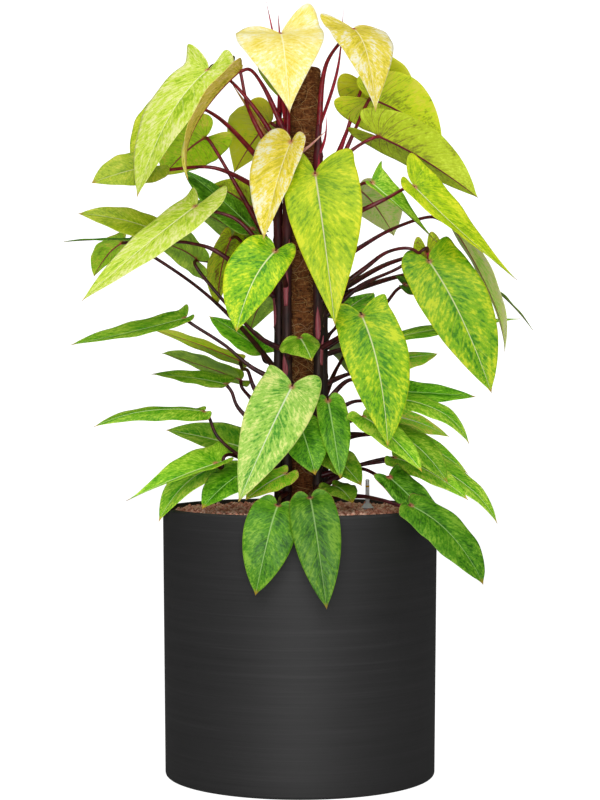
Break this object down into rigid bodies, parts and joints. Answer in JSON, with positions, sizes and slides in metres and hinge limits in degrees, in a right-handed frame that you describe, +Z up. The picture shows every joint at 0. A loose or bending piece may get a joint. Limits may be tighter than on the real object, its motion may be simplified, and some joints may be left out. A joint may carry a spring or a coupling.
{
  "type": "potted painted lady philodendron",
  "caption": "Climbing aroid house plant with heart-shaped yellow and green leaves on a coir pole, in clay granulate in a round dark grey planter.",
  "frame": {"origin": "middle of the planter's underside, on the surface it stands on", "axes": "+Z up along the planter and the pole, -Y the front that the large hanging leaves face, +X to the right of that front"},
  "size_m": [0.7675, 0.5622, 1.2159],
  "materials": {
    "planter": "matt dark grey with fine level brushed lines",
    "culture_pot": "plain dark plastic",
    "clay_granulate": "rough fired clay pebbles, 5 to 8 mm",
    "pole_wood": "raw round stake",
    "coir": "brown coir fibre wound on the stake",
    "gauge_grey": "plain grey plastic",
    "gauge_clear": "clear plastic",
    "gauge_red": "red plastic",
    "stem": "smooth dark red to brown skin",
    "leaf_yellow": "satin leaf, pale yellow",
    "leaf_lime": "satin leaf, lime flecked with yellow",
    "leaf_fresh": "satin leaf, green flecked with yellow",
    "leaf_peach": "satin leaf, yellow and peach",
    "leaf_cream": "satin leaf, cream-white and yellow",
    "leaf_green": "satin leaf, mid green with a pale midrib",
    "leaf_dark": "satin leaf, deep green with a pale midrib",
    "leaf_pale": "satin leaf, pale green underside"
  },
  "bodies": {
    "root": {"planter": "planter", "culture_pot": "culture_pot", "granulate_in_planter": "clay_granulate", "granulate_in_culture_pot": "clay_granulate", "pole_core": "pole_wood", "pole_coir": "coir", "gauge_shaft": "gauge_grey", "gauge_tube": "gauge_clear", "gauge_float": "gauge_red", "stem_front_left": "stem", "stem_front_right": "stem", "stem_back_left": "stem", "stem_back_right": "stem", "leaf_crown_left": "leaf_yellow", "leaf_crown_right": "leaf_yellow", "leaf_lime_left": "leaf_lime", "leaf_lime_left_behind": "leaf_lime", "leaf_high_left": "leaf_fresh", "leaf_peach_edge": "leaf_peach", "leaf_high_left_back": "leaf_lime", "leaf_high_right_back": "leaf_lime", "leaf_high_right": "leaf_lime", "leaf_right_red_veined": "leaf_lime", "leaf_cream_centre": "leaf_cream", "leaf_centre_large": "leaf_lime", "leaf_right_yellow": "leaf_lime", "leaf_left_variegated": "leaf_fresh", "leaf_left_middle": "leaf_green", "leaf_left_dark_upper": "leaf_dark", "leaf_left_olive_turned": "leaf_green", "leaf_left_turned_low": "leaf_green", "leaf_centre_left_small": "leaf_fresh", "leaf_right_pale_turned": "leaf_pale", "leaf_right_large": "leaf_fresh", "leaf_front_right_large": "leaf_fresh", "leaf_left_low_back": "leaf_green", "leaf_left_long": "leaf_green", "leaf_left_lime_turned": "leaf_fresh", "leaf_left_dark_turned": "leaf_green", "leaf_left_dark_narrow": "leaf_dark", "leaf_left_level": "leaf_green", "leaf_low_left_dark": "leaf_dark", "leaf_low_left_bright": "leaf_fresh", "leaf_low_left_rim": "leaf_green", "leaf_low_left_inner": "leaf_green", "leaf_front_left_large": "leaf_fresh", "leaf_front_centre": "leaf_green", "leaf_rim_left": "leaf_green", "leaf_rim_right": "leaf_green", "leaf_right_level_upper": "leaf_dark", "leaf_right_level_middle": "leaf_green", "leaf_right_arched": "leaf_green", "leaf_right_low_upper": "leaf_dark", "leaf_right_low_lime": "leaf_fresh", "leaf_right_low_front": "leaf_fresh", "leaf_right_low_dark": "leaf_dark", "leaf_right_low_outer": "leaf_green", "leaf_right_low_inner": "leaf_dark", "leaf_right_rim_large": "leaf_green"}
  },
  "joints": []
}
